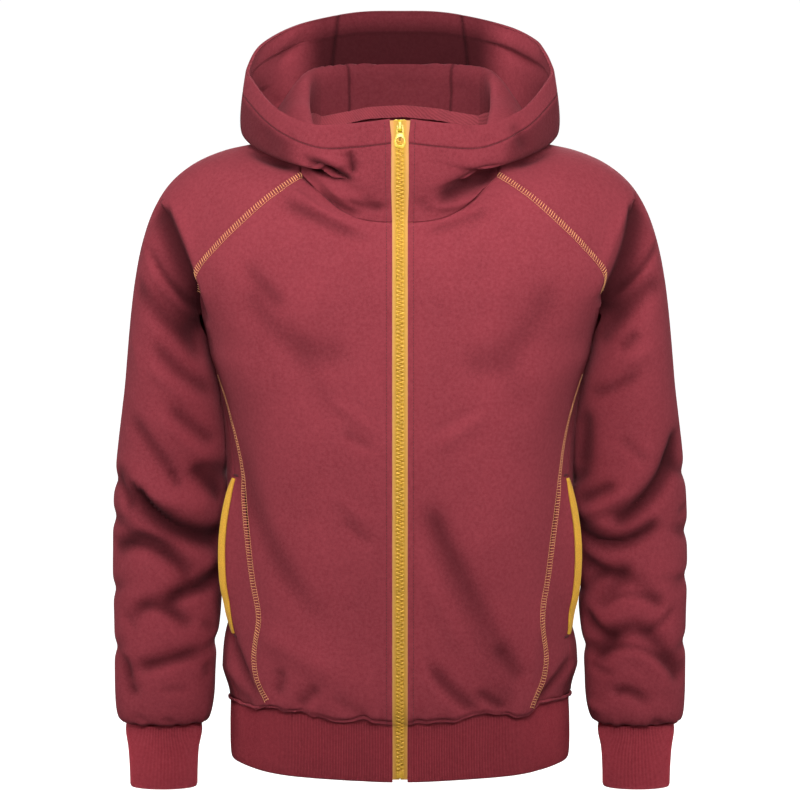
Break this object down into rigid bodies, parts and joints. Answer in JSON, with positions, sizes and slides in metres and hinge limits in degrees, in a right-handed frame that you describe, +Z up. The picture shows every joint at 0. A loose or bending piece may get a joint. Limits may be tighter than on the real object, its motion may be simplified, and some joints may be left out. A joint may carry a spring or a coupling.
{
  "type": "zip up hoodie",
  "caption": "Hooded zip-up sweatshirt with raglan sleeves, side pockets, rib cuffs and hem, closed and filled out as worn.",
  "frame": {"origin": "middle of the neck at shoulder height, where the wearer's shoulders hold the garment up", "axes": "+Z up, -Y towards the garment's front with its zip, +X towards the wearer's left"},
  "size_m": [0.6252, 0.3088, 0.839],
  "materials": {
    "fleece": "brushed matte fleece",
    "rib_knit": "matte rib knit",
    "zip_tape": "matte woven tape",
    "zip_plastic": "moulded plastic, slightly glossy",
    "pocket_trim": "matte woven binding",
    "neck_tape": "matte herringbone tape"
  },
  "bodies": {
    "garment": {"back": "fleece", "cuff_left": "rib_knit", "cuff_right": "rib_knit", "front_left": "fleece", "front_right": "fleece", "hem_rib": "rib_knit", "hood_centre": "fleece", "hood_left": "fleece", "hood_right": "fleece", "neck_tape": "neck_tape", "pocket_bag_left": "fleece", "pocket_bag_right": "fleece", "pocket_welt_left": "pocket_trim", "pocket_welt_right": "pocket_trim", "side_front_left": "fleece", "side_front_right": "fleece", "sleeve_left": "fleece", "sleeve_right": "fleece", "zip_box": "zip_plastic", "zip_slider": "zip_plastic", "zip_tape_left": "zip_tape", "zip_tape_right": "zip_tape", "zip_teeth": "zip_plastic"},
    "pull_tab": {"zip_pull": "zip_plastic"}
  },
  "joints": [
    {"name": "pull_swing", "type": "hinge", "parent": "garment", "child": "pull_tab", "pos_m": [0, -0.10828, 0.03125], "axis": [-1, 0, 0], "range_deg": [0, 165]}
  ]
}
